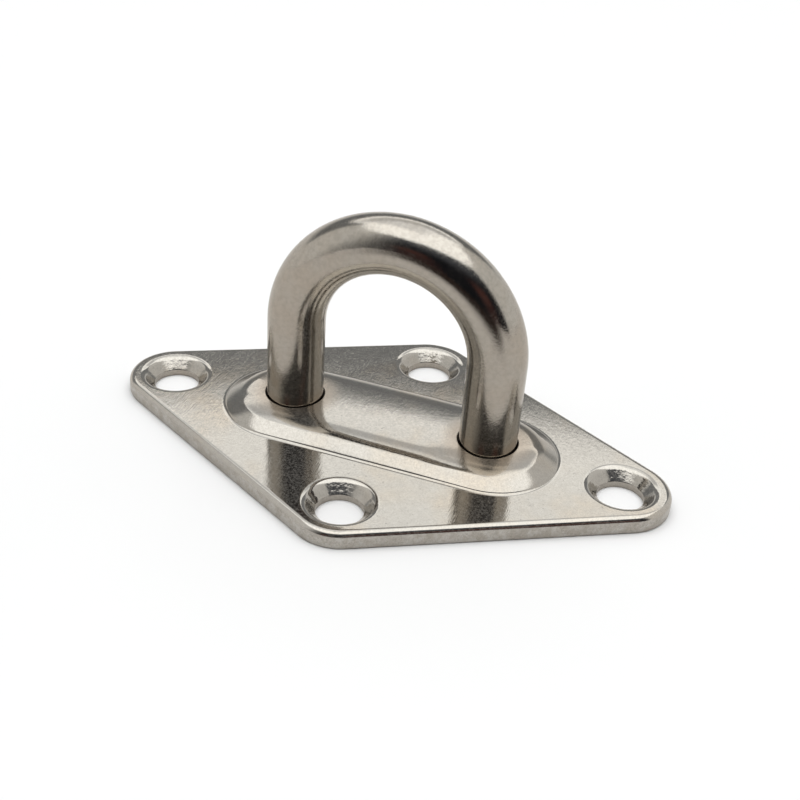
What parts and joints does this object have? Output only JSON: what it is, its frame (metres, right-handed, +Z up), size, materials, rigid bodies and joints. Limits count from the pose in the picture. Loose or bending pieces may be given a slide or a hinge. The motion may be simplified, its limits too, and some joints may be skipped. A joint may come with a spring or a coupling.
{
  "type": "pad eye",
  "caption": "Diamond-shaped pad eye: a pressed stainless plate with countersunk screw holes and a raised pad, carrying a welded round-bar eye.",
  "frame": {"origin": "middle of the plate's flat underside, halfway between the two legs of the eye", "axes": "+X along the long diagonal of the plate, in the plane of the eye; +Y along the short diagonal, through the eye; +Z up, away from the deck"},
  "size_m": [0.08, 0.05, 0.0347],
  "materials": {
    "satin_stainless": "satin, tumbled",
    "polished_stainless": "polished",
    "weld_metal": "as welded, pickled"
  },
  "bodies": {
    "root": {"base_plate": "satin_stainless", "eye_bar": "polished_stainless", "weld_bead_left": "weld_metal", "weld_bead_right": "weld_metal"}
  },
  "joints": []
}
